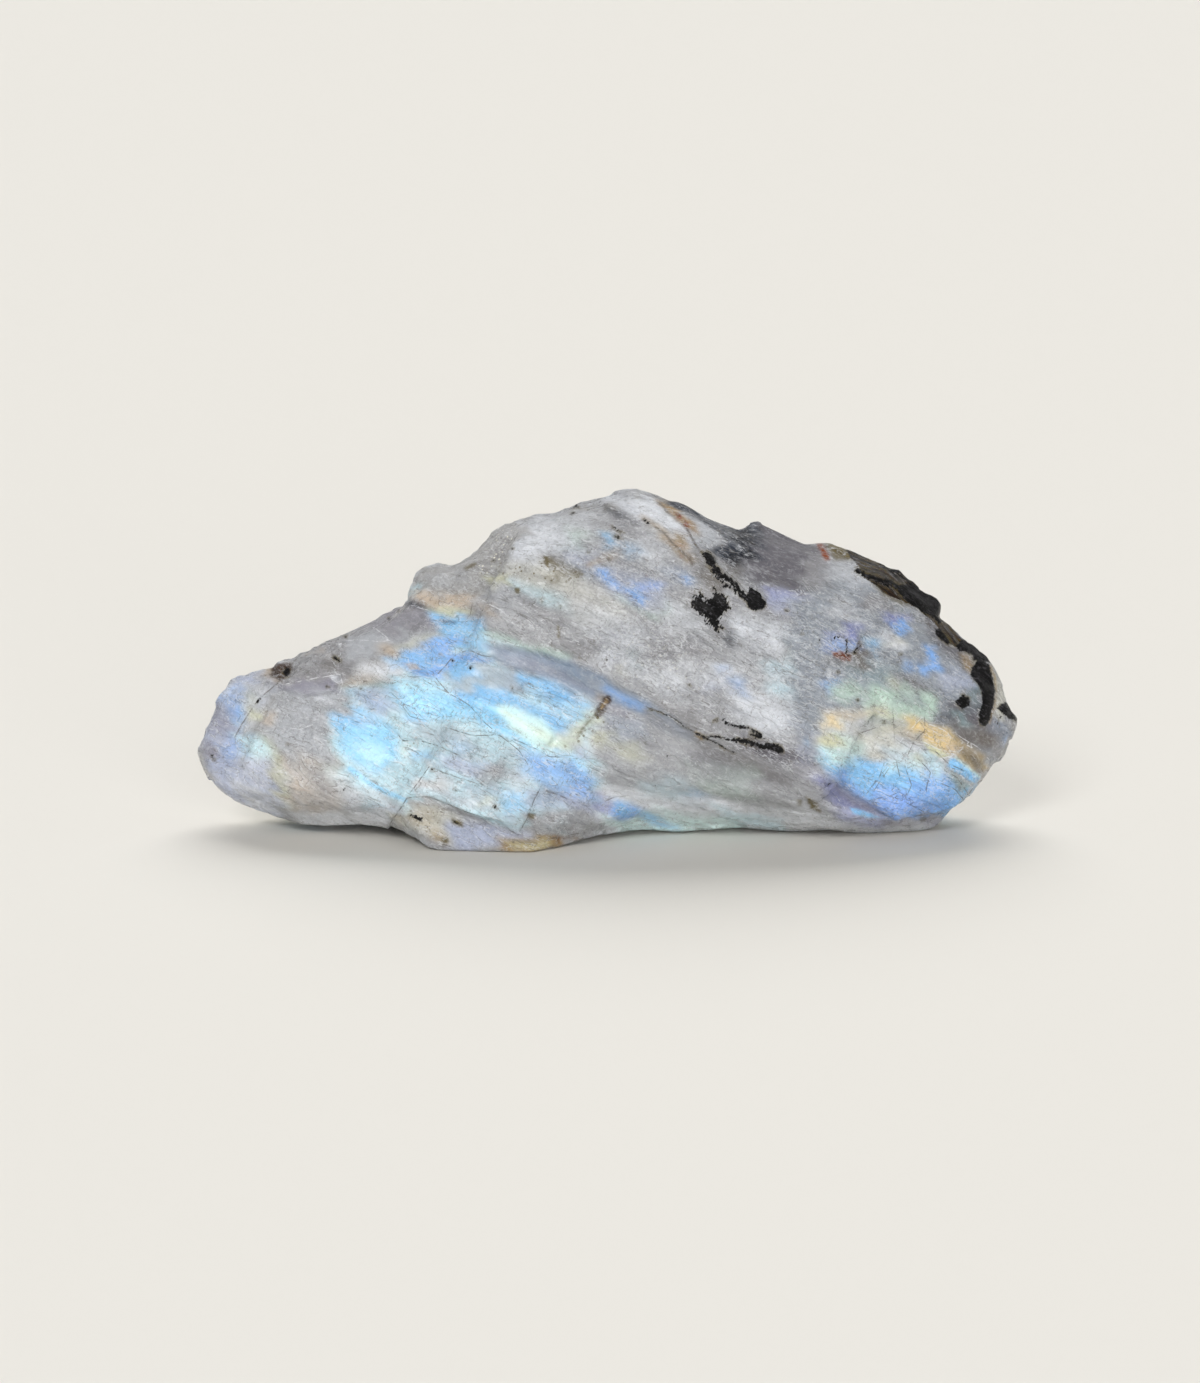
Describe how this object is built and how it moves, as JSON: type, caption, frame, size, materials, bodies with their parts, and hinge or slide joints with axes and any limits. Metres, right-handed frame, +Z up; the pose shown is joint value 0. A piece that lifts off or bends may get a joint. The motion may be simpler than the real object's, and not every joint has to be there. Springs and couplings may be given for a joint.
{
  "type": "rough moonstone",
  "caption": "Rough, cleaved lump of rainbow moonstone (white labradorite) with blue flash and dark inclusions, standing on a small flat spot.",
  "frame": {"origin": "middle of the footprint box, on the surface that the stone stands on", "axes": "+X along the stone's length, towards its blunt steep end; -Y towards the flashing cleaved front; +Z up"},
  "size_m": [0.076, 0.0296, 0.0307],
  "materials": {
    "feldspar": "translucent milky feldspar with a vitreous to pearly lustre, blue and gold flash and black mineral inclusions"
  },
  "bodies": {
    "root": {"moonstone": "feldspar"}
  },
  "joints": []
}
